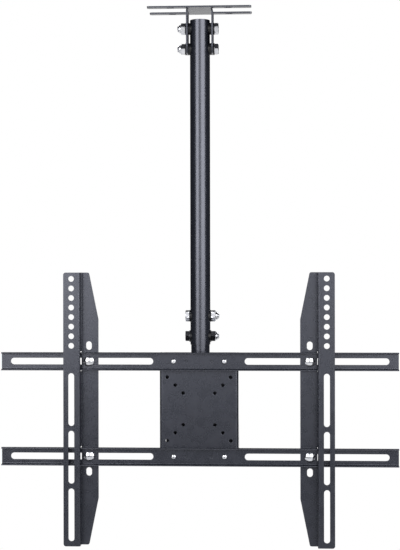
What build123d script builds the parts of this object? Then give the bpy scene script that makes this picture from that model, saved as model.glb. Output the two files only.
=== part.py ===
from build123d import *
import os
from math import atan2, degrees, hypot, radians, sin

os.makedirs("parts", exist_ok=True)

# A ceiling mount for a television. Millimetres, +Z up. The origin is the centre of the face
# that lies against the ceiling, so the mount hangs below it, and the screen side faces -Y.

# Ceiling plate, one sheet with two ears folded down
plate_length = 166.0
plate_width = 64.0
plate_sheet = 2.5
plate_bend = 2.0
strip_width = 12.0
strip_corner = 3.0
ear_slit = 1.0
ear_drop = 72.5
ear_corner = 12.0
ceiling_slot_spacing = 92.0
ceiling_slot_length = 12.0
ceiling_slot_width = 6.0

# Pole and the tube that telescopes in it
pole_outer = 32.0
pole_wall = 1.0
pole_length = 521.0
pole_top_gap = 18.0
telescope_fit = 0.1
inner_wall = 1.5
inner_length = 300.0
inner_below_pole = 73.0
spare_hole_pairs = 5

# Cross bolts at both ends of the pole
upper_bolt_drop = 31.5
cross_bolt_pitch = 32.5
lower_bolt_rise = 13.5
ear_saddle_thickness = 3.0
lower_saddle_thickness = 1.5
saddle_diameter = 19.0
saddle_fit = 0.05
ceiling_washer_thickness = 2.0
ceiling_washer_diameter = 19.0

# Hexagon hardware, large on the pole and medium on the tilt and the arms
large_thread = 10.0
large_flats = 16.0
large_head = 6.4
large_nut = 10.0
medium_thread = 8.0
medium_flats = 13.0
medium_head = 5.3
medium_nut = 8.0
small_thread = 5.0
small_flats = 8.0
small_nut = 4.0
nut_collar = 0.3
hole_play = 0.5
thread_fit = 0.05
bolt_overhang = 2.6
tip_chamfer = 1.0
hex_bevel_angle = 60.0

# Screen plate with the fixed hole squares
screen_plate_width = 124.0
screen_plate_height = 176.0
screen_sheet = 2.5
screen_bend = 2.0
screen_standoff = 48.0
screen_hole = 5.5
screen_patterns = (100.0, 75.0, 50.0)
flange_depth = 22.0
flange_foot_height = 36.0
flange_slope_height = 40.0

# Rails, two folded channels that open to the screen side
rail_length = 625.0
rail_height = 28.5
rail_depth = 10.0
rail_sheet = 2.0
rail_bend = 1.5
rail_spacing = 150.0
rail_below_pole = 24.0
rail_slot_start = 72.0
rail_slot_end = 298.0
rail_slot_height = 10.4
rail_screw_spacing = 80.0
rail_screw_play = 0.3
rail_hole_spacing = 40.0
rail_hole = 5.0
screw_head_diameter = 9.0
screw_head_height = 3.4
screw_crown = 0.7
screw_overhang = 1.5

# Tilt yoke, welded to the inner tube
yoke_sheet = 3.0
yoke_bend = 2.0
yoke_gap = 0.3
yoke_top_inset = 2.0
yoke_wall_height = 47.0
apron_gap = 2.0
apron_above_lock = 13.0
apron_corner = 8.0
tilt_limit = 10.0
pivot_depth = 14.0
pin_fit = 0.08
cheek_front_margin = 8.0
cheek_straight = 10.0
cheek_curve = 15.0
foot_margin = 9.0
foot_corner = 8.0
arc_play = 0.3
lock_washer_diameter = 17.0
lock_washer_thickness = 1.6

# Arms, two folded Z sections that carry the screen
arm_length = 430.0
arm_sheet = 2.0
arm_bend = 0.5
arm_depth = 18.0
arm_hole_half_spacing = 200.0
arm_front_width = 24.5
arm_rear_width = 29.0
arm_hole_inset = 12.0
arm_hole = 9.0
arm_hole_pitch = 15.0
arm_hole_rows = 8
arm_first_hole = 10.0
arm_slot_length = 83.0
arm_slot_width = 9.3
arm_slot_pitch = 90.5
arm_slots = 3
arm_first_slot = 8.0
arm_taper_width = 15.0
arm_taper_height = 74.0
arm_taper_corner = 3.0
arm_end_radius = 4.0
oval_width = 9.0
oval_height = 13.5
oval_step = 24.5
clamp_inset = 14.0
window_play = 1.5
window_inset = 0.3
slide_gap = 0.2
clamp_head_diameter = 16.0
clamp_head_height = 3.5
clamp_brim_height = 0.9
clamp_neck = 8.0
clamp_neck_length = 3.6
clamp_washer_diameter = 18.0
clamp_washer_thickness = 1.6

# Heights, all below the ceiling face
pole_top = -pole_top_gap
pole_bottom = pole_top - pole_length
ear_bolt_heights = {"upper": -upper_bolt_drop, "lower": -upper_bolt_drop - cross_bolt_pitch}
height_bolt_heights = {
    "upper": pole_bottom + lower_bolt_rise + cross_bolt_pitch,
    "lower": pole_bottom + lower_bolt_rise,
}
inner_bottom = pole_bottom - inner_below_pole
rail_heights = {"upper": pole_bottom - rail_below_pole, "lower": pole_bottom - rail_below_pole - rail_spacing}
pivot_height = rail_heights["upper"]
lock_height = rail_heights["lower"]
head_height = (pivot_height + lock_height) / 2
arm_top = head_height + arm_length / 2

# Widths and depths
sides = {"left": -1, "right": 1}
pole_radius = pole_outer / 2
inner_outer = pole_outer - 2 * pole_wall - 2 * telescope_fit
ear_inner = pole_radius + ear_saddle_thickness
ear_outer = ear_inner + plate_sheet
ear_width = plate_width - 2 * strip_width - 2 * ear_slit
screen_front = -screen_standoff
rail_front = screen_front - rail_sheet
pivot_y = screen_front + pivot_depth
lock_reach = rail_spacing * sin(radians(tilt_limit))
lock_y = pivot_y + lock_reach
flange_outer = screen_plate_width / 2
cheek_outer = flange_outer - screen_sheet - yoke_gap
cheek_inner = cheek_outer - yoke_sheet
yoke_rear = -inner_outer / 2
yoke_top = pivot_height + rail_height / 2 - yoke_top_inset
arm_rear_front = screen_front + slide_gap
arm_rear_back = arm_rear_front + arm_sheet
arm_front_back = arm_rear_back - arm_depth + arm_sheet
arm_web_outer = arm_hole_half_spacing - arm_hole_inset
clamp_x = arm_web_outer - clamp_inset


def finish(piece, name):
    """Name a finished piece and write its file."""
    piece.part.label = name
    export_step(piece.part, f"parts/{name}.step")


def hex_bolt(name, seat, thread, flats, head, length):
    """A hexagon bolt. The seat is the plane under its head, facing along the shank."""
    with BuildPart() as bolt:
        with BuildSketch(seat):
            RegularPolygon(flats / 2, 6, major_radius=False)
        extrude(amount=-head)
        with BuildSketch(seat.offset(-head)):
            Circle(flats / 2)
        extrude(amount=head, taper=-hex_bevel_angle, mode=Mode.INTERSECT)
        with BuildSketch(seat):
            Circle(thread / 2)
        extrude(amount=length)
        tip = bolt.edges().sort_by(Axis(seat.origin, seat.z_dir))[-1]
        chamfer(tip, tip_chamfer)
    finish(bolt, name)


def lock_nut(name, seat, thread, flats, height):
    """A locking nut. The seat is the plane it bears on, facing away from the joint."""
    collar = height * nut_collar
    with BuildPart() as nut:
        with BuildSketch(seat):
            RegularPolygon(flats / 2, 6, major_radius=False)
        extrude(amount=height - collar)
        with BuildSketch(seat.offset(height - collar)):
            Circle(flats / 2)
        extrude(amount=collar - height, taper=-hex_bevel_angle, mode=Mode.INTERSECT)
        with BuildSketch(seat.offset(height - collar)):
            Circle((flats - collar) / 2)
        extrude(amount=collar)
        rim = nut.edges().sort_by(Axis(seat.origin, seat.z_dir))[-1]
        fillet(rim, collar / 2)
        with BuildSketch(seat):
            Circle(thread / 2 + thread_fit)
        extrude(amount=height, mode=Mode.SUBTRACT)
    finish(nut, name)


def washer(name, seat, thread, diameter, thickness):
    """A flat round washer. The seat is the plane it lies on."""
    with BuildPart() as ring:
        with BuildSketch(seat):
            Circle(diameter / 2)
            Circle((thread + hole_play) / 2, mode=Mode.SUBTRACT)
        extrude(amount=thickness)
    finish(ring, name)


def pole_saddle(name, side, height, thickness):
    """A spacer with one flat face and one hollow face that fits round the pole."""
    flat_face = Plane(origin=(side * (pole_radius + thickness), 0, height), z_dir=(-side, 0, 0))
    with BuildPart() as saddle:
        with BuildSketch(flat_face):
            Circle(saddle_diameter / 2)
            Circle((large_thread + hole_play) / 2, mode=Mode.SUBTRACT)
        extrude(amount=thickness + pole_radius / 2)
        with BuildSketch(Plane.XY.offset(height)):
            Circle(pole_radius + saddle_fit)
        extrude(amount=saddle_diameter, both=True, mode=Mode.SUBTRACT)
    finish(saddle, name)


# Ceiling plate: a pressed steel sheet, cut to an H whose middle folds down into two ears
with BuildPart() as ceiling_plate:
    with BuildSketch(Plane.XY):
        Rectangle(plate_length, plate_width)
        flat_middle = 2 * (ear_outer - plate_bend - plate_sheet)
        window_length = (plate_length - flat_middle) / 2
        window_x = (flat_middle + window_length) / 2
        with Locations((-window_x, 0), (window_x, 0)):
            Rectangle(window_length, plate_width - 2 * strip_width, mode=Mode.SUBTRACT)
        with GridLocations(ceiling_slot_spacing, plate_width - strip_width, 2, 2):
            SlotOverall(ceiling_slot_length, ceiling_slot_width, mode=Mode.SUBTRACT)
    extrude(amount=-plate_sheet)
    strip_ends = ceiling_plate.edges().filter_by(Axis.Z).group_by(Axis.X)
    fillet(strip_ends[0] + strip_ends[-1], strip_corner)
    with BuildSketch(Plane.XZ):
        with BuildLine():
            FilletPolyline(
                (-ear_outer, -ear_drop),
                (-ear_outer, 0),
                (ear_outer, 0),
                (ear_outer, -ear_drop),
                radius=plate_bend + plate_sheet,
            )
            offset(amount=plate_sheet, side=Side.RIGHT)
        make_face()
    extrude(amount=ear_width / 2, both=True)
    ear_ends = ceiling_plate.edges().filter_by(Axis.X).group_by(Axis.Z)[0]
    fillet(ear_ends, ear_corner)
    for height in ear_bolt_heights.values():
        with BuildSketch(Plane.YZ):
            with Locations((0, height)):
                Circle((large_thread + hole_play) / 2)
        extrude(amount=plate_length, both=True, mode=Mode.SUBTRACT)
finish(ceiling_plate, "ceiling_plate")

# Pole: a thin steel tube with two pairs of cross holes at each end
with BuildPart() as pole:
    with BuildSketch(Plane.XY.offset(pole_top)):
        Circle(pole_radius)
        Circle(pole_radius - pole_wall, mode=Mode.SUBTRACT)
    extrude(amount=-pole_length)
    with BuildSketch(Plane.YZ):
        for height in [*ear_bolt_heights.values(), *height_bolt_heights.values()]:
            with Locations((0, height)):
                Circle((large_thread + hole_play) / 2)
    extrude(amount=pole_outer, both=True, mode=Mode.SUBTRACT)
finish(pole, "pole")

# Inner tube: slides in the pole to set the height, with a ladder of spare holes
with BuildPart() as inner_tube:
    with BuildSketch(Plane.XY.offset(inner_bottom)):
        Circle(inner_outer / 2)
        Circle(inner_outer / 2 - inner_wall, mode=Mode.SUBTRACT)
    extrude(amount=inner_length)
    with BuildSketch(Plane.YZ):
        for row in range(2 + spare_hole_pairs):
            with Locations((0, height_bolt_heights["lower"] + row * cross_bolt_pitch)):
                Circle((large_thread + hole_play) / 2)
    extrude(amount=pole_outer, both=True, mode=Mode.SUBTRACT)
finish(inner_tube, "inner_tube")

# Cross bolts through the ears, heads on the right, with saddles between the ears and the pole
for level, height in ear_bolt_heights.items():
    for side_name, side in sides.items():
        pole_saddle(f"pole_saddle_{level}_{side_name}", side, height, ear_saddle_thickness)
        ear_face = Plane(origin=(side * ear_outer, 0, height), z_dir=(side, 0, 0))
        washer(
            f"ceiling_washer_{level}_{side_name}",
            ear_face,
            large_thread,
            ceiling_washer_diameter,
            ceiling_washer_thickness,
        )
    reach = ear_outer + ceiling_washer_thickness
    head_seat = Plane(origin=(reach, 0, height), z_dir=(-1, 0, 0))
    shank = 2 * reach + large_nut + bolt_overhang
    hex_bolt(f"ceiling_bolt_{level}", head_seat, large_thread, large_flats, large_head, shank)
    nut_seat = Plane(origin=(-reach, 0, height), z_dir=(-1, 0, 0))
    lock_nut(f"ceiling_nut_{level}", nut_seat, large_thread, large_flats, large_nut)

# Height bolts through the pole and the inner tube, heads on the left
for level, height in height_bolt_heights.items():
    for side_name, side in sides.items():
        pole_saddle(f"height_saddle_{level}_{side_name}", side, height, lower_saddle_thickness)
    reach = pole_radius + lower_saddle_thickness
    head_seat = Plane(origin=(-reach, 0, height), z_dir=(1, 0, 0))
    shank = 2 * reach + large_nut + bolt_overhang
    hex_bolt(f"height_bolt_{level}", head_seat, large_thread, large_flats, large_head, shank)
    nut_seat = Plane(origin=(reach, 0, height), z_dir=(1, 0, 0))
    lock_nut(f"height_nut_{level}", nut_seat, large_thread, large_flats, large_nut)

# Tilt yoke: a folded sheet with a back wall on the inner tube, an apron behind the screen plate
# and two cheeks that reach down inside its flanges
with BuildPart() as tilt_yoke:
    with BuildSketch(Plane.XY.offset(yoke_top)):
        with BuildLine():
            FilletPolyline(
                (-cheek_outer, pivot_y),
                (-cheek_outer, yoke_rear),
                (cheek_outer, yoke_rear),
                (cheek_outer, pivot_y),
                radius=yoke_bend + yoke_sheet,
            )
            offset(amount=yoke_sheet, side=Side.RIGHT)
        make_face()
    extrude(amount=-yoke_wall_height)
    cheek_front = pivot_y - cheek_front_margin
    bend_start = yoke_rear - yoke_bend - yoke_sheet
    wall_foot = yoke_top - yoke_wall_height
    with BuildSketch(Plane.YZ.offset(cheek_inner)):
        with BuildLine():
            FilletPolyline(
                (bend_start, yoke_top),
                (cheek_front, yoke_top),
                (cheek_front, pivot_height - cheek_straight),
                (lock_y - foot_margin, lock_height + foot_margin),
                (lock_y - foot_margin, lock_height - foot_margin),
                (lock_y + foot_margin, lock_height - foot_margin),
                (lock_y + foot_margin, lock_height + foot_margin),
                (bend_start, wall_foot),
                radius=[yoke_bend, cheek_curve, cheek_curve, foot_corner, foot_corner, cheek_curve],
            )
            Line((bend_start, wall_foot), (bend_start, yoke_top))
        make_face()
    extrude(amount=yoke_sheet)
    mirror(about=Plane.YZ)
    apron_width = 2 * (cheek_inner - apron_gap)
    apron_top = wall_foot + apron_corner
    apron_height = apron_top - lock_height - apron_above_lock
    with BuildSketch(Plane.XZ.offset(-yoke_rear)):
        with Locations((0, apron_top - apron_height / 2)):
            RectangleRounded(apron_width, apron_height, apron_corner)
    extrude(amount=yoke_sheet)
    with BuildSketch(Plane.YZ):
        with Locations((pivot_y, pivot_height), (lock_y, lock_height)):
            Circle(medium_thread / 2 + pin_fit)
    extrude(amount=cheek_outer + yoke_sheet, both=True, mode=Mode.SUBTRACT)
finish(tilt_yoke, "tilt_yoke")

# Screen plate: a folded tray with the three hole squares, its side flanges deeper at the foot
plate_face = Plane(origin=(0, screen_front, head_height), z_dir=(0, -1, 0), x_dir=(1, 0, 0))
plate_top = head_height + screen_plate_height / 2
plate_foot = head_height - screen_plate_height / 2
foot_rear = lock_y + foot_margin
with BuildPart() as screen_plate:
    with BuildSketch(Plane.XY.offset(plate_top)):
        with BuildLine():
            FilletPolyline(
                (-flange_outer, foot_rear),
                (-flange_outer, screen_front),
                (flange_outer, screen_front),
                (flange_outer, foot_rear),
                radius=screen_bend + screen_sheet,
            )
            offset(amount=screen_sheet, side=Side.LEFT)
        make_face()
    extrude(amount=-screen_plate_height)
    flange_rear = screen_front + flange_depth
    slope_foot = plate_foot + flange_foot_height
    with BuildSketch(Plane.YZ):
        with BuildLine():
            above = (flange_rear, plate_top + screen_sheet)
            foot = (foot_rear, slope_foot)
            FilletPolyline(above, (flange_rear, slope_foot + flange_slope_height), foot, radius=cheek_curve)
            behind = foot_rear + screen_sheet
            Polyline(foot, (behind, slope_foot), (behind, plate_top + screen_sheet), above)
        make_face()
    extrude(amount=screen_plate_width, both=True, mode=Mode.SUBTRACT)
    flange_feet = screen_plate.edges().filter_by(Axis.X).group_by(Axis.Z)[0].group_by(Axis.Y)[-1]
    fillet(flange_feet, foot_corner)
    with BuildSketch(plate_face):
        for pattern in screen_patterns:
            with GridLocations(pattern, pattern, 2, 2):
                Circle(screen_hole / 2)
        with GridLocations(rail_screw_spacing, rail_spacing, 2, 2):
            Circle(small_thread / 2 + rail_screw_play)
    extrude(amount=-2 * screen_sheet, mode=Mode.SUBTRACT)
    arc_radius = hypot(lock_reach, rail_spacing)
    rest_angle = degrees(atan2(-rail_spacing, lock_reach))
    lock_path = CenterArc((pivot_y, pivot_height), arc_radius, rest_angle, -tilt_limit, mode=Mode.PRIVATE)
    with BuildSketch(Plane.YZ):
        with Locations((pivot_y, pivot_height)):
            Circle(medium_thread / 2 + pin_fit)
        SlotArc(lock_path, medium_thread + 2 * arc_play)
    extrude(amount=screen_plate_width, both=True, mode=Mode.SUBTRACT)
finish(screen_plate, "screen_plate")

# Rails: long channels on the screen plate, slotted for the arms to slide along
for level, height in rail_heights.items():
    with BuildPart() as rail:
        half_height = rail_height / 2
        lip_edge = screen_front - rail_depth
        with BuildSketch(Plane.YZ):
            with BuildLine():
                FilletPolyline(
                    (lip_edge, height + half_height),
                    (screen_front, height + half_height),
                    (screen_front, height - half_height),
                    (lip_edge, height - half_height),
                    radius=rail_bend + rail_sheet,
                )
                offset(amount=rail_sheet, side=Side.RIGHT)
            make_face()
        extrude(amount=rail_length / 2, both=True)
        with BuildSketch(Plane(origin=(0, rail_front, height), z_dir=(0, -1, 0), x_dir=(1, 0, 0))):
            for side in sides.values():
                with Locations((side * (rail_slot_start + rail_slot_end) / 2, 0)):
                    SlotOverall(rail_slot_end - rail_slot_start, rail_slot_height)
                with Locations((side * rail_screw_spacing / 2, 0)):
                    Circle(small_thread / 2 + rail_screw_play)
                with Locations((side * rail_hole_spacing / 2, 0)):
                    Circle(rail_hole / 2)
        extrude(amount=-2 * rail_sheet, mode=Mode.SUBTRACT)
    finish(rail, f"rail_{level}")

# Rail screws with domed heads, and their nuts behind the screen plate
for level, height in rail_heights.items():
    for side_name, side in sides.items():
        screw_x = side * rail_screw_spacing / 2
        head_seat = Plane(origin=(screw_x, rail_front, height), z_dir=(0, 1, 0), x_dir=(1, 0, 0))
        with BuildPart() as screw:
            with BuildSketch(head_seat):
                Circle(screw_head_diameter / 2)
            extrude(amount=-screw_head_height)
            crown = screw.edges().sort_by(Axis.Y)[0]
            fillet(crown, screw_head_height * screw_crown)
            with BuildSketch(head_seat):
                Circle(small_thread / 2)
            extrude(amount=rail_sheet + screen_sheet + small_nut + screw_overhang)
        finish(screw, f"rail_screw_{level}_{side_name}")
        nut_seat = head_seat.offset(rail_sheet + screen_sheet)
        lock_nut(f"rail_nut_{level}_{side_name}", nut_seat, small_thread, small_flats, small_nut)

# Pivot bolts at the upper rail and lock bolts at the lower rail. Their heads are outside the
# screen plate, and a washer covers each arc slot.
for side_name, side in sides.items():
    for role, bolt_y, height in (("pivot", pivot_y, pivot_height), ("lock", lock_y, lock_height)):
        head_face = flange_outer + (lock_washer_thickness if role == "lock" else 0)
        head_seat = Plane(origin=(side * head_face, bolt_y, height), z_dir=(-side, 0, 0))
        shank = head_face - cheek_inner + medium_nut + bolt_overhang
        hex_bolt(f"{role}_bolt_{side_name}", head_seat, medium_thread, medium_flats, medium_head, shank)
        nut_seat = Plane(origin=(side * cheek_inner, bolt_y, height), z_dir=(-side, 0, 0))
        lock_nut(f"{role}_nut_{side_name}", nut_seat, medium_thread, medium_flats, medium_nut)
    washer_seat = Plane(origin=(side * flange_outer, lock_y, lock_height), z_dir=(side, 0, 0))
    washer(
        f"lock_washer_{side_name}", washer_seat, medium_thread, lock_washer_diameter, lock_washer_thickness
    )

# Arms: a rear flange behind the rails, a web with a window for each rail and a front flange for
# the screen. Each window reaches just into the rear bend, so the rail slides through freely.
arm_plane = Plane(origin=(0, arm_front_back, head_height), z_dir=(0, -1, 0), x_dir=(1, 0, 0))
with BuildPart() as arm_right:
    with BuildSketch(Plane.XY.offset(arm_top)):
        with BuildLine():
            FilletPolyline(
                (arm_web_outer - arm_rear_width, arm_rear_back),
                (arm_web_outer, arm_rear_back),
                (arm_web_outer, arm_front_back),
                (arm_web_outer + arm_front_width, arm_front_back),
                radius=[arm_bend + arm_sheet, arm_bend],
            )
            offset(amount=arm_sheet, side=Side.RIGHT)
        make_face()
    extrude(amount=-arm_length)
    outer_corners = arm_right.edges().filter_by(Axis.Y).group_by(Axis.X)[-1]
    fillet(outer_corners, arm_end_radius)
    with BuildSketch(Plane.XZ.offset(-arm_rear_back - arm_sheet)):
        for end in (1, -1):
            tip = head_height + end * arm_length / 2
            inner_edge = arm_web_outer - arm_rear_width
            with BuildLine():
                Polyline(
                    (inner_edge, tip - end * arm_taper_height),
                    (inner_edge, tip),
                    (inner_edge + arm_taper_width, tip),
                    close=True,
                )
            make_face()
    extrude(amount=2 * arm_sheet, mode=Mode.SUBTRACT)
    for end in (0, -1):
        end_edges = arm_right.edges().filter_by(Axis.Y).group_by(Axis.Z)[end]
        fillet(end_edges.sort_by(Axis.X)[0], arm_taper_corner)
    with BuildSketch(arm_plane):
        first_hole = arm_length / 2 - arm_first_hole
        for row in range(arm_hole_rows):
            with Locations((arm_hole_half_spacing, first_hole - row * arm_hole_pitch)):
                Circle(arm_hole / 2)
        first_slot = arm_first_slot + arm_slot_length / 2 - arm_length / 2
        for slot in range(arm_slots):
            with Locations((arm_hole_half_spacing, first_slot + slot * arm_slot_pitch)):
                SlotOverall(arm_slot_length, arm_slot_width, rotation=90)
    extrude(amount=2 * arm_sheet, both=True, mode=Mode.SUBTRACT)
    half_spacing = rail_spacing / 2
    with BuildSketch(Plane(origin=(0, arm_rear_back, head_height), z_dir=(0, -1, 0), x_dir=(1, 0, 0))):
        for oval_rise in (half_spacing, -half_spacing, half_spacing + oval_step, -half_spacing - oval_step):
            with Locations((clamp_x, oval_rise)):
                SlotOverall(oval_height, oval_width, rotation=90)
    extrude(amount=2 * arm_sheet, both=True, mode=Mode.SUBTRACT)
    window_front = screen_front - rail_depth - window_play
    window_depth = arm_rear_back - window_front
    with BuildSketch(Plane.YZ.offset(arm_web_outer - arm_sheet - window_inset)):
        for height in rail_heights.values():
            with Locations((window_front + window_depth / 2, height)):
                Rectangle(window_depth, rail_height + 2 * window_play)
    extrude(amount=arm_sheet + 2 * window_inset, mode=Mode.SUBTRACT)
finish(arm_right, "arm_right")

with BuildPart() as arm_left:
    mirror(arm_right.part, about=Plane.YZ)
finish(arm_left, "arm_left")

# Arm clamps: domed bolts whose square necks slide in the rails, with a washer and nut behind
for side_name, side in sides.items():
    for level, height in rail_heights.items():
        seat_place = (side * clamp_x, rail_front - slide_gap, height)
        clamp_seat = Plane(origin=seat_place, z_dir=(0, 1, 0), x_dir=(1, 0, 0))
        dome_plane = Plane(origin=seat_place, x_dir=(1, 0, 0), z_dir=(0, 0, 1))
        washer_seat = clamp_seat.offset(arm_rear_back - rail_front + slide_gap)
        nut_seat = washer_seat.offset(clamp_washer_thickness)
        with BuildPart() as arm_bolt:
            with BuildSketch(dome_plane):
                with BuildLine():
                    crown = (0, -clamp_head_height)
                    brim = (clamp_head_diameter / 2, -clamp_brim_height)
                    Polyline(crown, (0, 0), (clamp_head_diameter / 2, 0), brim)
                    TangentArc(crown, brim, tangent=(1, 0))
                make_face()
            revolve(axis=Axis(clamp_seat.origin, (0, 1, 0)))
            with BuildSketch(clamp_seat):
                Rectangle(clamp_neck, clamp_neck)
            extrude(amount=clamp_neck_length)
            with BuildSketch(clamp_seat):
                Circle(medium_thread / 2)
            shank = slide_gap + rail_sheet + slide_gap + arm_sheet + clamp_washer_thickness
            extrude(amount=shank + medium_nut + bolt_overhang)
            chamfer(arm_bolt.edges().sort_by(Axis.Y)[-1], tip_chamfer)
        finish(arm_bolt, f"arm_bolt_{side_name}_{level}")
        washer(
            f"arm_washer_{side_name}_{level}",
            washer_seat,
            medium_thread,
            clamp_washer_diameter,
            clamp_washer_thickness,
        )
        lock_nut(f"arm_nut_{side_name}_{level}", nut_seat, medium_thread, medium_flats, medium_nut)
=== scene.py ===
from math import cos, pi, radians, sin, tan

import bmesh
import bpy
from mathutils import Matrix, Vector


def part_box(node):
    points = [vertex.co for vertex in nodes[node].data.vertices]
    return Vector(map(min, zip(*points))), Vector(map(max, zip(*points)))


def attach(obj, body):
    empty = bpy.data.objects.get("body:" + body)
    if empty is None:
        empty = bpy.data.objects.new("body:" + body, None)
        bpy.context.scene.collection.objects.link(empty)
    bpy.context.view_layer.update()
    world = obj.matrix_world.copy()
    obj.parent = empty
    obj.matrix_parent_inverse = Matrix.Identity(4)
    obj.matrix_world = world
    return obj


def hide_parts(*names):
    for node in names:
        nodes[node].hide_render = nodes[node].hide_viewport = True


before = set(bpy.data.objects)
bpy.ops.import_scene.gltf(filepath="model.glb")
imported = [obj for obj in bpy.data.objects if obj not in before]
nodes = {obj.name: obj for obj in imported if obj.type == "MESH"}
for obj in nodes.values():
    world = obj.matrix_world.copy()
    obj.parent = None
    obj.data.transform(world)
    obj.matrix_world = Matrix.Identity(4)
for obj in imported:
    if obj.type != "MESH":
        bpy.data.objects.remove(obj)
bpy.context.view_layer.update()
collection = bpy.context.scene.collection

# Ceiling plate
# One sheet of 2.5 mm steel, cut to an H whose middle folds down into two ears.
# It is powder coated black, and the coat rounds its cut edges and has a fine grain.
PLATE_ROUNDING = 0.0003
CUT_ANGLE = radians(35)
FLAT_ANGLE = radians(0.4)
SAME_POINT = 2e-6
FRONT_MARGIN, ANY_DEPTH = 1e-5, 1
ROUNDING_STEPS = 3
USUAL_LOW, USUAL_HIGH = 0.3, 0.7
COAT_DARK = (0.0082, 0.0094, 0.0138, 1)
COAT_LIGHT = (0.0112, 0.0128, 0.0186, 1)
COAT_TINT = (0.84, 0.865, 1.0, 1)
COAT_GLOSS = 0.95
COAT_ROUGHNESS = (0.25, 0.30)
COAT_CLOUDS, COAT_RUBS, COAT_PEEL, COAT_GRAIN = 14, 60, 420, 2400
PEEL_DEPTH, PEEL_STRENGTH = 0.00003, 0.22
GRAIN_DEPTH, GRAIN_STRENGTH = 0.00002, 0.16


def new_material(name):
    """An empty material, its tree, its shader and the place on the object that patterns follow."""
    material = bpy.data.materials.new(name)
    material.use_nodes = True
    tree = material.node_tree
    place = tree.nodes.new("ShaderNodeTexCoord").outputs["Object"]
    return material, tree, tree.nodes["Principled BSDF"], place


def noise(tree, place, scale, detail):
    texture = tree.nodes.new("ShaderNodeTexNoise")
    texture.inputs["Scale"].default_value = scale
    texture.inputs["Detail"].default_value = detail
    tree.links.new(place, texture.inputs["Vector"])
    return texture.outputs["Fac"]


def between(tree, value, low, high):
    """The value's usual range, spread from low to high."""
    spread = tree.nodes.new("ShaderNodeMapRange")
    spread.inputs["From Min"].default_value = USUAL_LOW
    spread.inputs["From Max"].default_value = USUAL_HIGH
    spread.inputs["To Min"].default_value = low
    spread.inputs["To Max"].default_value = high
    tree.links.new(value, spread.inputs["Value"])
    return spread.outputs["Result"]


def shades(tree, value, dark, light):
    """The value's usual range as colours from dark to light."""
    ramp = tree.nodes.new("ShaderNodeValToRGB")
    ramp.color_ramp.elements[0].position = USUAL_LOW
    ramp.color_ramp.elements[0].color = dark
    ramp.color_ramp.elements[1].position = USUAL_HIGH
    ramp.color_ramp.elements[1].color = light
    tree.links.new(value, ramp.inputs["Fac"])
    return ramp.outputs["Color"]


def bumps(tree, height, depth, strength, under=None):
    """A relief of the given depth, on top of another one if there is one."""
    bump = tree.nodes.new("ShaderNodeBump")
    bump.inputs["Distance"].default_value = depth
    bump.inputs["Strength"].default_value = strength
    tree.links.new(height, bump.inputs["Height"])
    if under:
        tree.links.new(under, bump.inputs["Normal"])
    return bump.outputs["Normal"]


powder_coat, tree, shader, place = new_material("powder_coat")
shader.inputs["Specular IOR Level"].default_value = COAT_GLOSS
shader.inputs["Specular Tint"].default_value = COAT_TINT
clouds = noise(tree, place, COAT_CLOUDS, 4)
tree.links.new(shades(tree, clouds, COAT_DARK, COAT_LIGHT), shader.inputs["Base Color"])
rubs = noise(tree, place, COAT_RUBS, 3)
tree.links.new(between(tree, rubs, *COAT_ROUGHNESS), shader.inputs["Roughness"])
peel = bumps(tree, noise(tree, place, COAT_PEEL, 1), PEEL_DEPTH, PEEL_STRENGTH)
grain = bumps(tree, noise(tree, place, COAT_GRAIN, 2), GRAIN_DEPTH, GRAIN_STRENGTH, under=peel)
tree.links.new(grain, shader.inputs["Normal"])


def settle(piece, body, slot, *replaced):
    """Hand a finished piece to its body and hide the solids it stands for. The slot is not used."""
    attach(piece, body)
    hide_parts(*replaced)


def plain_mesh(piece):
    """The piece's mesh with its modifiers' result in it and the modifiers gone."""
    piece.data = bpy.data.meshes.new_from_object(piece.evaluated_get(bpy.context.evaluated_depsgraph_get()))
    piece.modifiers.clear()


def soften(name, body, rounding, material, slot, lip_rounding=None, crowded=False):
    """A piece with the solid's own shape and rounded cut edges. The foremost ones may have their own radius.

    Where corners are crowded, the rounding is held back so that it never overlaps."""
    solid = bmesh.new()
    solid.from_mesh(nodes[name].data)
    bmesh.ops.remove_doubles(solid, verts=solid.verts, dist=SAME_POINT)
    bmesh.ops.dissolve_limit(solid, angle_limit=FLAT_ANGLE, verts=solid.verts, edges=solid.edges)
    foremost = min(vert.co.y for vert in solid.verts) + FRONT_MARGIN
    for radius, limit in ((lip_rounding, foremost), (rounding, ANY_DEPTH)):
        if radius:
            cuts = [edge for edge in solid.edges if edge.is_manifold and edge.calc_face_angle() > CUT_ANGLE
                    and all(vert.co.y < limit for vert in edge.verts)]
            bmesh.ops.bevel(solid, geom=cuts, offset=radius, segments=ROUNDING_STEPS, profile=0.5,
                            affect="EDGES", clamp_overlap=crowded)
    mesh = bpy.data.meshes.new(name + "_piece")
    solid.to_mesh(mesh)
    solid.free()
    mesh.materials.clear()
    mesh.materials.append(material)
    mesh.shade_smooth()
    piece = bpy.data.objects.new(name + "_piece", mesh)
    collection.objects.link(piece)
    even = piece.modifiers.new("even_faces", "WEIGHTED_NORMAL")
    even.keep_sharp = True
    plain_mesh(piece)
    settle(piece, body, slot, name)


soften("ceiling_plate", "hanger", PLATE_ROUNDING, powder_coat, "powder_coat")

# Pole and inner tube
# Two round steel tubes, sawn to length, drilled across and powder coated. The
# inner one telescopes in the pole and shows only below it.
TUBE_ROUNDING = 0.0002
for tube in ("pole", "inner_tube"):
    soften(tube, "hanger", TUBE_ROUNDING, powder_coat, "powder_coat")

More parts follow.
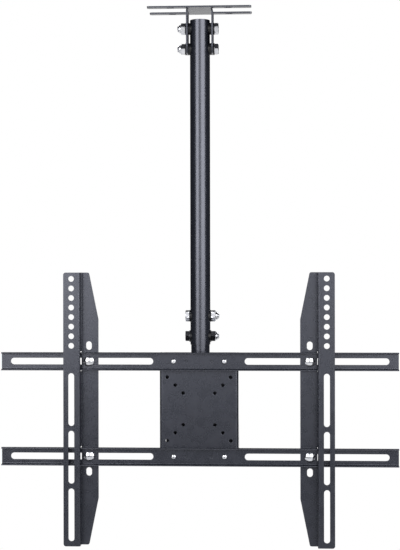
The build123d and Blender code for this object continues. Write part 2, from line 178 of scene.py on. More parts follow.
# Saddles and ear washers
# Moulded black plastic. The saddles have one hollow face that fits round the
# pole, and the washers keep the bolts from marking the ears.
MOULD_ROUNDING = 0.0003
PLASTIC_DARK = (0.0045, 0.0048, 0.006, 1)
PLASTIC_LIGHT = (0.0075, 0.008, 0.01, 1)
PLASTIC_GLOSS = 0.35
PLASTIC_ROUGHNESS = (0.3, 0.4)
PLASTIC_FLOW, PLASTIC_RUBS, PLASTIC_SPARK = 80, 240, 1600
SPARK_DEPTH, SPARK_STRENGTH = 0.00003, 0.5

black_plastic, tree, shader, place = new_material("black_plastic")
shader.inputs["Specular IOR Level"].default_value = PLASTIC_GLOSS
flow = noise(tree, place, PLASTIC_FLOW, 3)
tree.links.new(shades(tree, flow, PLASTIC_DARK, PLASTIC_LIGHT), shader.inputs["Base Color"])
rubs = noise(tree, place, PLASTIC_RUBS, 2)
tree.links.new(between(tree, rubs, *PLASTIC_ROUGHNESS), shader.inputs["Roughness"])
sparked = bumps(tree, noise(tree, place, PLASTIC_SPARK, 2), SPARK_DEPTH, SPARK_STRENGTH)
tree.links.new(sparked, shader.inputs["Normal"])
for level in ("upper", "lower"):
    for side in ("left", "right"):
        for part in ("ceiling_washer", "pole_saddle", "height_saddle"):
            soften(f"{part}_{level}_{side}", "hanger", MOULD_ROUNDING, black_plastic, "black_plastic")

# Cross bolts
# Four M10 hexagon bolts of bright zinc plated steel: two hang the pole from the
# ears, heads on the right, and two set its height, heads on the left.
MM = 0.001
# Every size of a turned piece is in millimetres. BEYOND lies past any head or nut.
CROSS_THREAD, CROSS_FLATS, CROSS_HEAD, CROSS_NUT, CROSS_PITCH = 10.0, 16.0, 6.4, 10.0, 1.5
CROSS_RUN_OUT, BOLT_TIP = 5.0, 1.0
THREAD_SHARE = 0.56
ROWS_A_TURN = 6
COLUMNS_AROUND = 48
SHARP_ANGLE = radians(32)
HEX, HEX_REACH, HEX_SLOPE = 6, 1.16, tan(radians(30))
WASHER_FACE = 0.3
BEYOND = 20.0
NO_FLATS, NO_THREAD = (HEX, 1000, 0, 0), (0, 0, 1)
ANY_SPIN, SPIN_SEED = pi / 3, 7
NUT_PLAY, RING_PLAY, RING_GAP, RING_TOP = 0.05, 0.03, 0.02, 0.062
COLLAR_SHARE, COLLAR_WALL = 0.3, 0.07
# The lip's points, in from the rim and down from the top, as shares of the thread
COLLAR_LIP = ((0, 0.09), (0.02, 0.035), (0.05, 0.005), (0.09, 0), (0.105, 0.015), (0.09, 0.04),
              (COLLAR_WALL, 0.06))
TOWARDS = {"+X": (0, pi / 2, 0), "-X": (0, -pi / 2, 0), "+Y": (-pi / 2, 0, 0), "+Z": (0, 0, 0)}
ZINC_DARK = (0.56, 0.57, 0.61, 1)
ZINC_LIGHT = (0.74, 0.75, 0.78, 1)
ZINC_ROUGHNESS = (0.13, 0.24)
ZINC_CLOUDS, ZINC_RUBS, ZINC_GRAIN = 110, 340, 900
ZINC_DEPTH, ZINC_STRENGTH = 0.00002, 0.4

bright_zinc, tree, shader, place = new_material("bright_zinc")
shader.inputs["Metallic"].default_value = 1
plating = noise(tree, place, ZINC_CLOUDS, 3)
tree.links.new(shades(tree, plating, ZINC_DARK, ZINC_LIGHT), shader.inputs["Base Color"])
rubs = noise(tree, place, ZINC_RUBS, 3)
tree.links.new(between(tree, rubs, *ZINC_ROUGHNESS), shader.inputs["Roughness"])
crystals = bumps(tree, noise(tree, place, ZINC_GRAIN, 2), ZINC_DEPTH, ZINC_STRENGTH)
tree.links.new(crystals, shader.inputs["Normal"])


def wire(tree, kind, *values, output=0, **settings):
    """A node with its settings, its inputs linked or filled in order, and one of its outputs."""
    node = tree.nodes.new(kind)
    for setting, value in settings.items():
        setattr(node, setting, value)
    shown = [socket for socket in node.inputs if socket.enabled]
    for socket, value in zip(shown, values):
        if isinstance(value, bpy.types.NodeSocket):
            tree.links.new(value, socket)
        elif value is not None:
            socket.default_value = value
    return node.outputs[output]


def calculate(tree, operation, *values):
    """One step of arithmetic on numbers or on other steps' results."""
    return wire(tree, "ShaderNodeMath", *values, operation=operation)


def turned_tree(name, recess=False):
    """A tree that turns an outline round the Z axis, cuts flats and a thread, and sets out copies in rows.

    The outline's points have their radius in X and their height in Z. With a recess, a cross
    of that size is cut into the first point's end."""
    tree = bpy.data.node_groups.new(name, "GeometryNodeTree")
    kinds = {
        "Outline": "Geometry", "Columns": "Int", "Flat sides": "Int", "Across flats": "Float",
        "Flats from": "Float", "Flats to": "Float", "Thread from": "Float", "Thread to": "Float",
        "Thread pitch": "Float", "Thread depth": "Float", "Along": "Int", "Rows": "Int",
        "First place": "Vector", "Step along": "Vector", "Step between rows": "Vector",
        "Turn": "Vector", "Turn along": "Vector", "Spin": "Float", "Recess": "Vector", "Finish": "Material",
    }
    for label, kind in kinds.items():
        tree.interface.new_socket(label, in_out="INPUT", socket_type="NodeSocket" + kind)
    tree.interface.new_socket("Pieces", in_out="OUTPUT", socket_type="NodeSocketGeometry")
    given = tree.nodes.new("NodeGroupInput").outputs
    outline = given["Outline"]

    # The turned surface is a grid whose rows are the outline's points
    rows = wire(tree, "GeometryNodeAttributeDomainSize", outline)
    columns = given["Columns"]
    grid = wire(tree, "GeometryNodeMeshGrid", 1.0, 1.0, calculate(tree, "ADD", columns, 1), rows)
    index = wire(tree, "GeometryNodeInputIndex")
    row = calculate(tree, "MODULO", index, rows)
    column = calculate(tree, "FLOOR", calculate(tree, "DIVIDE", index, rows))
    place = wire(tree, "GeometryNodeInputPosition")
    point = wire(tree, "GeometryNodeSampleIndex", outline, place, row, data_type="FLOAT_VECTOR")
    radius = wire(tree, "ShaderNodeSeparateXYZ", point)
    height = wire(tree, "ShaderNodeSeparateXYZ", point, output=2)
    angle = calculate(tree, "DIVIDE", calculate(tree, "MULTIPLY", column, 2 * pi), columns)

    # Flats: between two heights no point lies outside the polygon
    sector = calculate(tree, "DIVIDE", 2 * pi, given["Flat sides"])
    off_middle = calculate(tree, "SUBTRACT", calculate(tree, "MODULO", angle, sector),
                           calculate(tree, "DIVIDE", sector, 2))
    flat = calculate(tree, "DIVIDE", calculate(tree, "DIVIDE", given["Across flats"], 2),
                     calculate(tree, "COSINE", off_middle))
    above = calculate(tree, "GREATER_THAN", height, given["Flats from"])
    below = calculate(tree, "LESS_THAN", height, given["Flats to"])
    spare = calculate(tree, "MAXIMUM", calculate(tree, "SUBTRACT", radius, flat), 0)
    radius = calculate(tree, "SUBTRACT", radius,
                       calculate(tree, "MULTIPLY", spare, calculate(tree, "MULTIPLY", above, below)))

    # Thread: a groove that climbs one pitch a turn and fades out at both ends
    climb = calculate(tree, "SUBTRACT", height, given["Thread from"])
    left = calculate(tree, "SUBTRACT", given["Thread to"], height)
    turns = calculate(tree, "SUBTRACT", calculate(tree, "DIVIDE", climb, given["Thread pitch"]),
                      calculate(tree, "DIVIDE", angle, 2 * pi))
    groove = calculate(tree, "PINGPONG", calculate(tree, "MULTIPLY", turns, 2), 1)
    starts = calculate(tree, "DIVIDE", calculate(tree, "MINIMUM", climb, left), given["Thread pitch"])
    cut = calculate(tree, "MINIMUM", calculate(tree, "MAXIMUM", starts, 0), 1)
    depth = calculate(tree, "MULTIPLY", calculate(tree, "MULTIPLY", groove, cut), given["Thread depth"])
    radius = calculate(tree, "SUBTRACT", radius, depth)

    across = calculate(tree, "MULTIPLY", radius, calculate(tree, "COSINE", angle))
    deep = calculate(tree, "MULTIPLY", radius, calculate(tree, "SINE", angle))
    surface = wire(tree, "GeometryNodeSetPosition", grid, None,
                   wire(tree, "ShaderNodeCombineXYZ", across, deep, height))
    solid = wire(tree, "GeometryNodeMergeByDistance", surface, None, 0.5 * SAME_POINT)
    if recess:
        wing = wire(tree, "GeometryNodeMeshCube", given["Recess"])
        crossing = wire(tree, "GeometryNodeTransform", wing, None, (0, 0, pi / 2))
        sunk = wire(tree, "GeometryNodeSampleIndex", outline, place, 0, data_type="FLOAT_VECTOR")
        both = wire(tree, "GeometryNodeMeshBoolean", None, operation="UNION", solver="EXACT")
        for blade in (wing, crossing):
            tree.links.new(blade, both.node.inputs["Mesh 2"])
        cross = wire(tree, "GeometryNodeTransform", both, sunk)
        solid = wire(tree, "GeometryNodeMeshBoolean", solid, cross, operation="DIFFERENCE", solver="EXACT")

    # Copies: a point for each, in rows, turned to face along their bolt's axis
    count = calculate(tree, "MULTIPLY", given["Along"], given["Rows"])
    along = calculate(tree, "MODULO", index, given["Along"])
    across_rows = calculate(tree, "FLOOR", calculate(tree, "DIVIDE", index, given["Along"]))

    def steps(start, step, number):
        scaled = tree.nodes.new("ShaderNodeVectorMath")
        scaled.operation = "SCALE"
        tree.links.new(step, scaled.inputs[0])
        tree.links.new(number, scaled.inputs["Scale"])
        return wire(tree, "ShaderNodeVectorMath", start, scaled.outputs[0], operation="ADD")

    in_row = steps(given["First place"], given["Step along"], along)
    spot = steps(in_row, given["Step between rows"], across_rows)
    points = wire(tree, "GeometryNodePoints", count, spot)
    turn = wire(tree, "FunctionNodeEulerToRotation", steps(given["Turn"], given["Turn along"], along))
    copies = wire(tree, "GeometryNodeInstanceOnPoints", points, None, solid, None, None, turn)
    chance = wire(tree, "FunctionNodeRandomValue", 0.0, 1.0, None, SPIN_SEED, output=1)
    spin = wire(tree, "ShaderNodeCombineXYZ", 0, 0, calculate(tree, "MULTIPLY", chance, given["Spin"]))
    spun = wire(tree, "GeometryNodeRotateInstances", copies, None, spin)
    whole = wire(tree, "GeometryNodeRealizeInstances", spun)
    finished = wire(tree, "GeometryNodeSetMaterial", whole, None, given["Finish"])
    tree.links.new(finished, tree.nodes.new("NodeGroupOutput").inputs[0])
    return tree


turned = turned_tree("turned_pieces")


def run_tree(name, tree, mesh, inputs):
    """The tree's result on a mesh, as a plain object with its modifier gone."""
    piece = bpy.data.objects.new(name, mesh)
    collection.objects.link(piece)
    modifier = piece.modifiers.new(name, "NODES")
    modifier.node_group = tree
    keys = {item.name: item.identifier for item in tree.interface.items_tree if item.in_out == "INPUT"}
    for label, value in inputs.items():
        modifier[keys[label]] = value
    plain_mesh(piece)
    return piece


def set_out(name, body, slot, finish, outline, replaced, first, turn, tree=turned, along=1, step=(0, 0, 0),
            turn_along=(0, 0, 0), rows=1, row_step=(0, 0, 0), flats=None, thread=None, recess=None, spin=0.0,
            columns=COLUMNS_AROUND):
    """Turned pieces in rows. The outline, flats and thread are in millimetres, the places in metres."""
    mesh = bpy.data.meshes.new(name)
    mesh.from_pydata([(radius * MM, 0, height * MM) for radius, height in outline], [], [])
    sides, across_flats, flats_from, flats_to = flats or NO_FLATS
    thread_from, thread_to, pitch = thread or NO_THREAD
    inputs = {
        "Columns": columns, "Flat sides": sides, "Across flats": across_flats * MM,
        "Flats from": flats_from * MM, "Flats to": flats_to * MM,
        "Thread from": thread_from * MM, "Thread to": thread_to * MM, "Thread pitch": pitch * MM,
        "Thread depth": THREAD_SHARE * pitch * MM if thread else 0.0,
        "Along": along, "Rows": rows, "First place": first, "Step along": step, "Step between rows": row_step,
        "Turn": turn, "Turn along": turn_along, "Spin": spin, "Finish": finish,
    }
    if recess:
        inputs["Recess"] = [size * MM for size in recess]
    piece = run_tree(name, tree, mesh, inputs)
    piece.data.shade_smooth()
    piece.data.set_sharp_from_angle(angle=SHARP_ANGLE)
    settle(piece, body, slot, *replaced)


def head_outline(flats, head):
    """A hexagon head from its crown to its seat at height 0: flat, cone, sides and washer face."""
    half = flats / 2
    reach = half * HEX_REACH
    cone = [(half + share * (reach - half), -head + share * (reach - half) * HEX_SLOPE)
            for share in (0, 0.25, 0.5, 0.75, 1)]
    seat = half * 0.95
    return [(0, -head), (half * 0.5, -head), (half - 0.25, -head), *cone, (reach, -0.6), (reach - 0.3, -0.35),
            (half * 0.97, -WASHER_FACE), (seat, -0.25), (seat, 0)]


def shank_outline(thread, plain, length, pitch, tip):
    """A shank from its seat to its pointed tip, with rows close enough for the thread."""
    half = thread / 2
    count = int((length - tip - plain) / pitch * ROWS_A_TURN)
    threads = [(half, plain + k * pitch / ROWS_A_TURN) for k in range(count + 1)]
    return [(half, 0), (half, plain * 0.5), *threads, (half, length - tip), (half - tip, length), (0, length)]


def bolt_outline(thread, flats, head, plain, length, pitch):
    """A hexagon bolt's head and shank in one outline."""
    return head_outline(flats, head) + shank_outline(thread, plain, length, pitch, BOLT_TIP)


def nut_outline(thread, flats, height):
    """A locking nut's steel, whose round collar is rolled in over a nylon ring. It is a closed loop."""
    half, hole = flats / 2, thread / 2 + NUT_PLAY
    reach = half * HEX_REACH
    collar = height * COLLAR_SHARE
    neck, rim = height - collar, half - collar / 2
    cone = [(half + share * (reach - half), neck - share * (reach - half) * HEX_SLOPE)
            for share in (1, 0.75, 0.5, 0.25, 0)]
    lip = [(rim - back * thread, height - down * thread) for back, down in COLLAR_LIP]
    return [(hole + 0.5, 0), (half * 0.94, 0), (half * 0.96, 0.25), (reach - 0.3, 0.35), (reach, 0.7), *cone,
            (rim + 0.25, neck), (rim, neck + 0.25), *lip, (rim - COLLAR_WALL * thread, neck),
            (hole, neck), (hole, 0.5), (hole + 0.5, 0)]


def nylon_outline(thread, flats, height):
    """The ring of nylon that a locking nut's collar holds. It is a closed loop."""
    hole, collar = thread / 2 + RING_PLAY, height * COLLAR_SHARE
    rim = flats / 2 - collar / 2 - COLLAR_WALL * thread - RING_GAP
    low, high = height - collar + RING_GAP, height - RING_TOP * thread
    return [(hole + 0.2, low), (rim, low), (rim, high), (hole + 0.35, high), (hole, high - 0.3),
            (hole, low + 0.2), (hole + 0.2, low)]


def span(name):
    """A solid's lowest corner, highest corner and middle."""
    low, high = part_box(name)
    return low, high, (low + high) / 2


def step_between(first, second):
    """The step from one solid's middle to another's."""
    return span(second)[2] - span(first)[2]


NYLON_DARK = (0.50, 0.50, 0.47, 1)
NYLON_LIGHT = (0.62, 0.62, 0.59, 1)
NYLON_ROUGHNESS = (0.35, 0.5)
NYLON_CLOUDS, NYLON_RUBS = 150, 500
NYLON_GLOW = 0.2

nylon, tree, shader, place = new_material("nylon")
milky = noise(tree, place, NYLON_CLOUDS, 2)
tree.links.new(shades(tree, milky, NYLON_DARK, NYLON_LIGHT), shader.inputs["Base Color"])
rubs = noise(tree, place, NYLON_RUBS, 2)
tree.links.new(between(tree, rubs, *NYLON_ROUGHNESS), shader.inputs["Roughness"])
shader.inputs["Subsurface Weight"].default_value = NYLON_GLOW
shader.inputs["Subsurface Radius"].default_value = (MM, MM, MM)

for bolts, heads_point in (("ceiling", 1), ("height", -1)):
    names = [f"{bolts}_bolt_upper", f"{bolts}_bolt_lower"]
    nut_names = [f"{bolts}_nut_upper", f"{bolts}_nut_lower"]
    low, high, middle = span(names[0])
    nut_low, nut_high, _ = span(nut_names[0])
    length = (high.x - low.x) / MM - CROSS_HEAD
    seat = high.x - CROSS_HEAD * MM if heads_point > 0 else low.x + CROSS_HEAD * MM
    nut_seat = nut_high.x if heads_point > 0 else nut_low.x
    shank_way = "-X" if heads_point > 0 else "+X"
    down = step_between(*names)
    thread_start = length - CROSS_NUT - CROSS_RUN_OUT
    set_out(f"{bolts}_bolts", "hanger", "bright_zinc", bright_zinc,
            bolt_outline(CROSS_THREAD, CROSS_FLATS, CROSS_HEAD, thread_start, length, CROSS_PITCH), names,
            (seat, middle.y, middle.z), TOWARDS[shank_way], along=2, step=down, spin=ANY_SPIN,
            flats=(HEX, CROSS_FLATS, -BEYOND, -WASHER_FACE), thread=(thread_start, length, CROSS_PITCH))
    set_out(f"{bolts}_nuts", "hanger", "bright_zinc", bright_zinc,
            nut_outline(CROSS_THREAD, CROSS_FLATS, CROSS_NUT), nut_names,
            (nut_seat, middle.y, middle.z), TOWARDS[shank_way], along=2, step=down, spin=ANY_SPIN,
            flats=(HEX, CROSS_FLATS, WASHER_FACE, BEYOND))
    set_out(f"{bolts}_nut_rings", "hanger", "black_plastic", nylon,
            nylon_outline(CROSS_THREAD, CROSS_FLATS, CROSS_NUT), [],
            (nut_seat, middle.y, middle.z), TOWARDS[shank_way], along=2, step=down)

# Tilt yoke
# A folded 3 mm sheet with an apron behind the screen plate and a cheek on each
# side. Two beads of weld join it to the inner tube's foot, and it is coated after welding.
YOKE_ROUNDING = 0.0003
BEAD_OFF, BEAD_DEEP, BEAD_RADIUS, BEAD_RIPPLE, BEAD_END, BEAD_INSET = 8.2, -13.2, 2.6, 0.35, 3.0, 1.5
BEAD_COLUMNS = 20
RIPPLE_PITCH, ROWS_A_RIPPLE = 2.2, 6
soften("tilt_yoke", "hanger", YOKE_ROUNDING, powder_coat, "powder_coat")
bead_foot = span("inner_tube")[0].z + BEAD_INSET * MM
bead_top = span("tilt_yoke")[1].z - BEAD_INSET * MM
bead_length = (bead_top - bead_foot) / MM
bead = []
for k in range(1, int(bead_length / RIPPLE_PITCH * ROWS_A_RIPPLE)):
    height = k * RIPPLE_PITCH / ROWS_A_RIPPLE
    fade = min(1, height / BEAD_END, (bead_length - height) / BEAD_END)
    ripple = BEAD_RIPPLE * (k % ROWS_A_RIPPLE) / ROWS_A_RIPPLE
    bead.append(((BEAD_RADIUS - ripple) * (1 - (1 - fade) ** 2) ** 0.5, height))
set_out("tube_welds", "hanger", "powder_coat", powder_coat, [(0, 0), *bead, (0, bead_length)], [],
        (-BEAD_OFF * MM, BEAD_DEEP * MM, bead_foot), TOWARDS["+Z"], along=2, step=(2 * BEAD_OFF * MM, 0, 0),
        columns=BEAD_COLUMNS)

# Screen plate
# A 2.5 mm steel sheet folded to a shallow tray and powder coated. It turns on
# the yoke's pivot bolts and carries both rails, or a small screen by itself.
SCREEN_ROUNDING = 0.0005
soften("screen_plate", "head", SCREEN_ROUNDING, powder_coat, "powder_coat")

# Rails
# Two long channels, folded from 2 mm strip with their lips towards the screen.
# The lips' edges are rounder than the slots, which are punched before coating.
RAIL_ROUNDING = 0.0005
LIP_ROUNDING = 0.00092
for rail in ("rail_upper", "rail_lower"):
    soften(rail, "head", RAIL_ROUNDING, powder_coat, "powder_coat", lip_rounding=LIP_ROUNDING)

# Rail screws
# Four M5 screws of bright zinc plated steel, with domed heads and a cross
# recess, and small locking nuts behind them.
SCREW_THREAD, SCREW_HEAD, SCREW_PITCH, SCREW_PLAIN, SCREW_TIP, SCREW_BRIM = 5.0, 3.4, 0.8, 1.0, 0.5, 0.5
SCREW_NUT, SCREW_FLATS = 4.0, 8.0
CROSS_RECESS = (4.6, 1.0, 3.6)
screw_low, screw_high, screw_middle = span("rail_screw_upper_left")
screw_length = (screw_high.y - screw_low.y) / MM - SCREW_HEAD
screw_radius = (screw_high.x - screw_low.x) / MM / 2
screw_names = [f"rail_screw_{level}_{side}" for level in ("upper", "lower") for side in ("left", "right")]
to_right = step_between("rail_screw_upper_left", "rail_screw_upper_right")
to_lower = step_between("rail_screw_upper_left", "rail_screw_lower_left")
dome = [(screw_radius * sin(angle), -SCREW_BRIM - (SCREW_HEAD - SCREW_BRIM) * cos(angle)) for angle in
        (radians(step) for step in (0, 12, 24, 36, 48, 60, 72, 82, 90))]
screw_outline = dome + [(screw_radius, -0.2), (screw_radius - 0.2, 0)]
screw_outline += shank_outline(SCREW_THREAD, SCREW_PLAIN, screw_length, SCREW_PITCH, SCREW_TIP)
set_out("rail_screws", "head", "bright_zinc", bright_zinc, screw_outline, screw_names,
        (screw_middle.x, screw_low.y + SCREW_HEAD * MM, screw_middle.z), TOWARDS["+Y"],
        tree=turned_tree("recessed_screws", recess=True), along=2, step=to_right, rows=2, row_step=to_lower,
        spin=pi / 2, thread=(SCREW_PLAIN, screw_length, SCREW_PITCH), recess=CROSS_RECESS)
nut_place = (screw_middle.x, span("rail_nut_upper_left")[0].y, screw_middle.z)
set_out("rail_nuts", "head", "bright_zinc", bright_zinc, nut_outline(SCREW_THREAD, SCREW_FLATS, SCREW_NUT),
        [name.replace("screw", "nut") for name in screw_names], nut_place, TOWARDS["+Y"], along=2,
        step=to_right, rows=2, row_step=to_lower, spin=ANY_SPIN,
        flats=(HEX, SCREW_FLATS, WASHER_FACE, BEYOND))
set_out("rail_nut_rings", "head", "black_plastic", nylon,
        nylon_outline(SCREW_THREAD, SCREW_FLATS, SCREW_NUT), [], nut_place, TOWARDS["+Y"], along=2,
        step=to_right, rows=2, row_step=to_lower)

# Tilt bolts
# M8 bolts through the screen plate's flanges and the yoke's cheeks: the upper
# pair is the pivot, and the lower pair clamps the tilt in the arc slots, with a
# wide washer under each head.
TILT_THREAD, TILT_FLATS, TILT_HEAD, TILT_NUT, TILT_PITCH = 8.0, 13.0, 5.3, 8.0, 1.25
TILT_RUN_OUT = 3.5
WASHER_PLAY, WASHER_EDGE = 0.25, 0.2
for role in ("pivot", "lock"):
    names = [f"{role}_bolt_left", f"{role}_bolt_right"]
    nut_names = [f"{role}_nut_left", f"{role}_nut_right"]
    low, high, middle = span(names[0])
    length = (high.x - low.x) / MM - TILT_HEAD
    thread_start = length - TILT_NUT - TILT_RUN_OUT
    seat, nut_seat = low.x + TILT_HEAD * MM, span(nut_names[0])[0].x
    mirrored = {"along": 2, "turn_along": (0, pi, 0)}
    set_out(f"{role}_bolts", "hanger", "bright_zinc", bright_zinc,
            bolt_outline(TILT_THREAD, TILT_FLATS, TILT_HEAD, thread_start, length, TILT_PITCH), names,
            (seat, middle.y, middle.z), TOWARDS["+X"], step=(-2 * seat, 0, 0), spin=ANY_SPIN,
            flats=(HEX, TILT_FLATS, -BEYOND, -WASHER_FACE),
            thread=(thread_start, length, TILT_PITCH), **mirrored)
    set_out(f"{role}_nuts", "hanger", "bright_zinc", bright_zinc,
            nut_outline(TILT_THREAD, TILT_FLATS, TILT_NUT), nut_names,
            (nut_seat, middle.y, middle.z), TOWARDS["+X"], step=(-2 * nut_seat, 0, 0), spin=ANY_SPIN,
            flats=(HEX, TILT_FLATS, WASHER_FACE, BEYOND), **mirrored)
    set_out(f"{role}_nut_rings", "hanger", "black_plastic", nylon,
            nylon_outline(TILT_THREAD, TILT_FLATS, TILT_NUT), [],
            (nut_seat, middle.y, middle.z), TOWARDS["+X"], step=(-2 * nut_seat, 0, 0), **mirrored)


def washer_outline(hole, rim, thickness):
    """A flat washer with softened edges. It is a closed loop."""
    near, far, top = hole + WASHER_EDGE, rim - WASHER_EDGE, thickness - WASHER_EDGE
    return [(near, 0), (far, 0), (rim, WASHER_EDGE), (rim, top), (far, thickness), (near, thickness),
            (hole, top), (hole, WASHER_EDGE), (near, 0)]


low, high, middle = span("lock_washer_left")
washer_thick, washer_rim = (high.x - low.x) / MM, (high.z - low.z) / MM / 2
set_out("lock_washers", "hanger", "bright_zinc", bright_zinc,
        washer_outline(TILT_THREAD / 2 + WASHER_PLAY, washer_rim, washer_thick),
        ["lock_washer_left", "lock_washer_right"], (low.x, middle.y, middle.z), TOWARDS["+X"], along=2,
        step=(-2 * low.x, 0, 0), turn_along=(0, pi, 0))

# Arms
# Each is one 2 mm sheet folded to a Z: a rear flange behind the rails, a web
# with a window for each rail, and a punched front flange for the screen.
ARM_ROUNDING = 0.0006
for side in ("left", "right"):
    soften(f"arm_{side}", f"{side}_arm", ARM_ROUNDING, powder_coat, "powder_coat", crowded=True)

# Arm clamps
# M8 coach bolts of bright zinc plated steel with smooth domes. Their square necks
# slide in the rails' slots, and a washer and locking nut behind the arm clamp it.
CLAMP_HEAD, CLAMP_BRIM, CLAMP_NECK, CLAMP_NECK_LENGTH = 3.5, 0.9, 8.0, 3.6
SQUARE, SQUARE_REACH = 4, 1.36
DOME_STEPS = 10
CLAMP_RUN_OUT = 3.0
for side in ("left", "right"):
    names = [f"arm_bolt_{side}_upper", f"arm_bolt_{side}_lower"]
    low, high, middle = span(names[0])
    down = step_between(*names)
    radius = (high.x - low.x) / MM / 2
    length = (high.y - low.y) / MM - CLAMP_HEAD
    rise = CLAMP_HEAD - CLAMP_BRIM
    sphere = (radius ** 2 + rise ** 2) / (2 * rise)
    outwards = [radius * k / DOME_STEPS for k in range(DOME_STEPS + 1)]
    dome = [(out, -CLAMP_HEAD + sphere - (sphere ** 2 - out ** 2) ** 0.5) for out in outwards]
    neck = CLAMP_NECK / 2 * SQUARE_REACH
    outline = dome + [(radius, -0.3), (radius - 0.2, 0), (neck, 0.01), (neck, CLAMP_NECK_LENGTH - 0.6),
                      (TILT_THREAD / 2, CLAMP_NECK_LENGTH)]
    thread_start = length - TILT_NUT - CLAMP_RUN_OUT
    outline += shank_outline(TILT_THREAD, thread_start, length, TILT_PITCH, BOLT_TIP)[2:]
    body = f"{side}_arm"
    set_out(f"{side}_arm_bolts", body, "bright_zinc", bright_zinc, outline, names,
            (middle.x, low.y + CLAMP_HEAD * MM, middle.z), TOWARDS["+Y"], along=2, step=down,
            flats=(SQUARE, CLAMP_NECK, 0.005, CLAMP_NECK_LENGTH - 0.01),
            thread=(thread_start, length, TILT_PITCH))
    washer_low, washer_high, _ = span(f"arm_washer_{side}_upper")
    washer_rim, washer_thick = (washer_high.x - washer_low.x) / MM / 2, (washer_high.y - washer_low.y) / MM
    set_out(f"{side}_arm_washers", body, "bright_zinc", bright_zinc,
            washer_outline(TILT_THREAD / 2 + WASHER_PLAY, washer_rim, washer_thick),
            [f"arm_washer_{side}_upper", f"arm_washer_{side}_lower"],
            (middle.x, washer_low.y, middle.z), TOWARDS["+Y"], along=2, step=down)
    nut_place = (middle.x, span(f"arm_nut_{side}_upper")[0].y, middle.z)
    set_out(f"{side}_arm_nuts", body, "bright_zinc", bright_zinc,
            nut_outline(TILT_THREAD, TILT_FLATS, TILT_NUT),
            [f"arm_nut_{side}_upper", f"arm_nut_{side}_lower"], nut_place, TOWARDS["+Y"], along=2,
            step=down, spin=ANY_SPIN, flats=(HEX, TILT_FLATS, WASHER_FACE, BEYOND))
    set_out(f"{side}_arm_nut_rings", body, "black_plastic", nylon,
            nylon_outline(TILT_THREAD, TILT_FLATS, TILT_NUT), [], nut_place, TOWARDS["+Y"], along=2,
            step=down)

# Studio
# A pale floor at the height of a room's floor and a white background. Two tall
# soft lights and a weak one stand in front of the mount, and two small ones behind it.
FLOOR_HEIGHT, FLOOR_REACH, FLOOR_GLOW = -2.4, 7, 0.93
FLOOR_COLOUR, FLOOR_ROUGHNESS = (0.9, 0.9, 0.9, 1), 0.9
ROOM_COLOUR = (0.04, 0.041, 0.044, 1)
WHITE = (1, 1, 1, 1)
BACKDROP_HALF, BACKDROP_TOP = radians(28), radians(-3)
HIGHEST_AIM = 0.5
# Azimuth from the front in degrees, height, distance, width and tallness in metres, and power in watts
SOFT_LIGHTS = {
    "left_softbox": (-29.5, 0.375, 2.6, 1.54, 2.05, 54),
    "right_softbox": (35.7, 0.375, 2.6, 2.23, 2.05, 74),
    "front_panel": (1, 0.5, 3.0, 1.4, 2.7, 11),
    "rear_left_softbox": (-146, 1.5, 2.4, 1.2, 1.2, 26),
    "rear_right_softbox": (146, 1.5, 2.4, 1.2, 1.2, 26),
}
CAMERA_PLACE = (0.110, -2.1485, -0.4234)
CAMERA_TURN = (radians(90) - 0.0018, 0.0016, 0.0514)
CAMERA_LENS, CAMERA_SENSOR = 87.5, 36

floor_mesh = bpy.data.meshes.new("floor")
floor_mesh.from_pydata([(x * FLOOR_REACH, y * FLOOR_REACH, FLOOR_HEIGHT) for x, y in
                        ((-1, -1), (1, -1), (1, 1), (-1, 1))], [], [(0, 1, 2, 3)])
floor = bpy.data.objects.new("floor", floor_mesh)
collection.objects.link(floor)
paper, tree, shader, _ = new_material("floor_paper")
shader.inputs["Base Color"].default_value = FLOOR_COLOUR
shader.inputs["Roughness"].default_value = FLOOR_ROUGHNESS
floor_mesh.materials.append(paper)
glow = wire(tree, "ShaderNodeEmission", WHITE, 1.0)
rays = tree.nodes.new("ShaderNodeLightPath").outputs
seen = calculate(tree, "MAXIMUM", rays["Is Camera Ray"], rays["Is Glossy Ray"])
share = calculate(tree, "MULTIPLY", seen, FLOOR_GLOW)
clear = wire(tree, "ShaderNodeBsdfTransparent")
back = tree.nodes.new("ShaderNodeNewGeometry").outputs["Backfacing"]
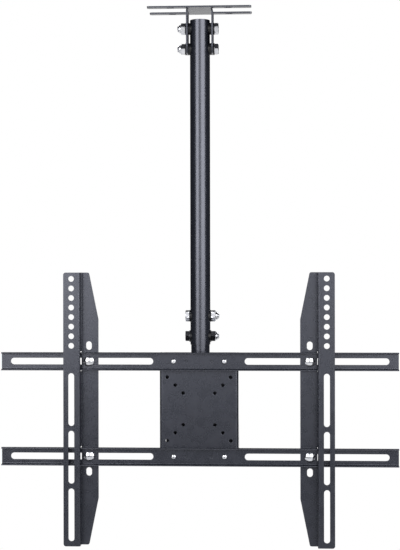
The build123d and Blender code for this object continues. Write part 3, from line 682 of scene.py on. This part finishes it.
lit = wire(tree, "ShaderNodeMixShader", share, shader.outputs[0], glow)
one_sided = wire(tree, "ShaderNodeMixShader", back, lit, clear)
tree.links.new(one_sided, tree.nodes["Material Output"].inputs["Surface"])

for name, (azimuth, height, distance, width, tall, power) in SOFT_LIGHTS.items():
    lamp = bpy.data.lights.new(name, "AREA")
    lamp.shape = "RECTANGLE"
    lamp.size = width
    lamp.size_y = tall
    lamp.energy = power
    holder = bpy.data.objects.new(name, lamp)
    angle = radians(azimuth)
    holder.location = (distance * sin(angle), -distance * cos(angle), height)
    aim = Vector((0, 0, min(height, HIGHEST_AIM))) - holder.location
    holder.rotation_euler = aim.to_track_quat("-Z", "Y").to_euler()
    collection.objects.link(holder)

world = bpy.data.worlds.new("studio")
world.use_nodes = True
bpy.context.scene.world = world
tree = world.node_tree
room = tree.nodes["Background"].outputs[0]
tree.nodes["Background"].inputs["Color"].default_value = ROOM_COLOUR
white = wire(tree, "ShaderNodeBackground", WHITE, 1.0)
rays = tree.nodes.new("ShaderNodeLightPath").outputs
way = tree.nodes.new("ShaderNodeTexCoord").outputs["Generated"]
backwards = wire(tree, "ShaderNodeSeparateXYZ", way, output=1)
up = wire(tree, "ShaderNodeSeparateXYZ", way, output=2)
in_width = calculate(tree, "GREATER_THAN", backwards, cos(BACKDROP_HALF))
in_height = calculate(tree, "LESS_THAN", up, sin(BACKDROP_TOP))
behind = calculate(tree, "MULTIPLY", in_width, in_height)
paper_seen = calculate(tree, "MAXIMUM", rays["Is Camera Ray"], behind)
surroundings = wire(tree, "ShaderNodeMixShader", paper_seen, room, white)
tree.links.new(surroundings, tree.nodes["World Output"].inputs["Surface"])

lens = bpy.data.cameras.new("camera")
lens.lens = CAMERA_LENS
lens.sensor_width = CAMERA_SENSOR
camera = bpy.data.objects.new("camera", lens)
camera.location = CAMERA_PLACE
camera.rotation_euler = CAMERA_TURN
collection.objects.link(camera)
bpy.context.scene.camera = camera
bpy.context.scene.view_settings.view_transform = "Standard"
